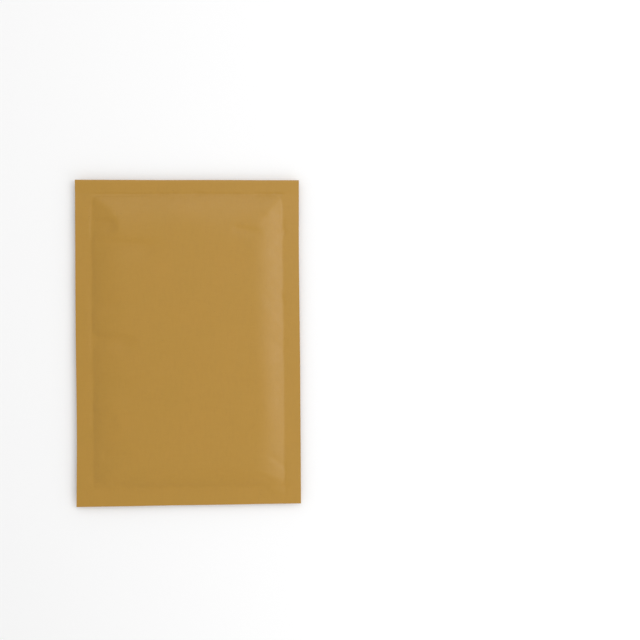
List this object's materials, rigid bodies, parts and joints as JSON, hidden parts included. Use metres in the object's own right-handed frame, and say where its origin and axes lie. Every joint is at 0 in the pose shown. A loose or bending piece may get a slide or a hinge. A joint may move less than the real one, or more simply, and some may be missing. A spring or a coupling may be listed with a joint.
{
  "type": "padded envelope",
  "caption": "Small kraft paper envelope with a bubble-film lining, flat sealed edges and a self-seal flap folded behind.",
  "frame": {"origin": "under the middle of the envelope, on the surface it lies on", "axes": "+X across the envelope to the right of its front face, +Y along it towards the flap's fold, +Z out of the front face"},
  "size_m": [0.12, 0.175, 0.0068],
  "materials": {
    "kraft_paper": "brown kraft paper, matt with a faint calendered sheen",
    "bubble_film": "clear polyethylene air-bubble film, milky where it overlaps",
    "hot_melt_adhesive": "pale amber hot-melt, glossy",
    "silicone_paper": "off-white silicone-coated release paper, smooth"
  },
  "bodies": {
    "root": {"kraft_cover": "kraft_paper", "bubble_lining": "bubble_film", "adhesive_strip": "hot_melt_adhesive", "release_liner": "silicone_paper"}
  },
  "joints": []
}
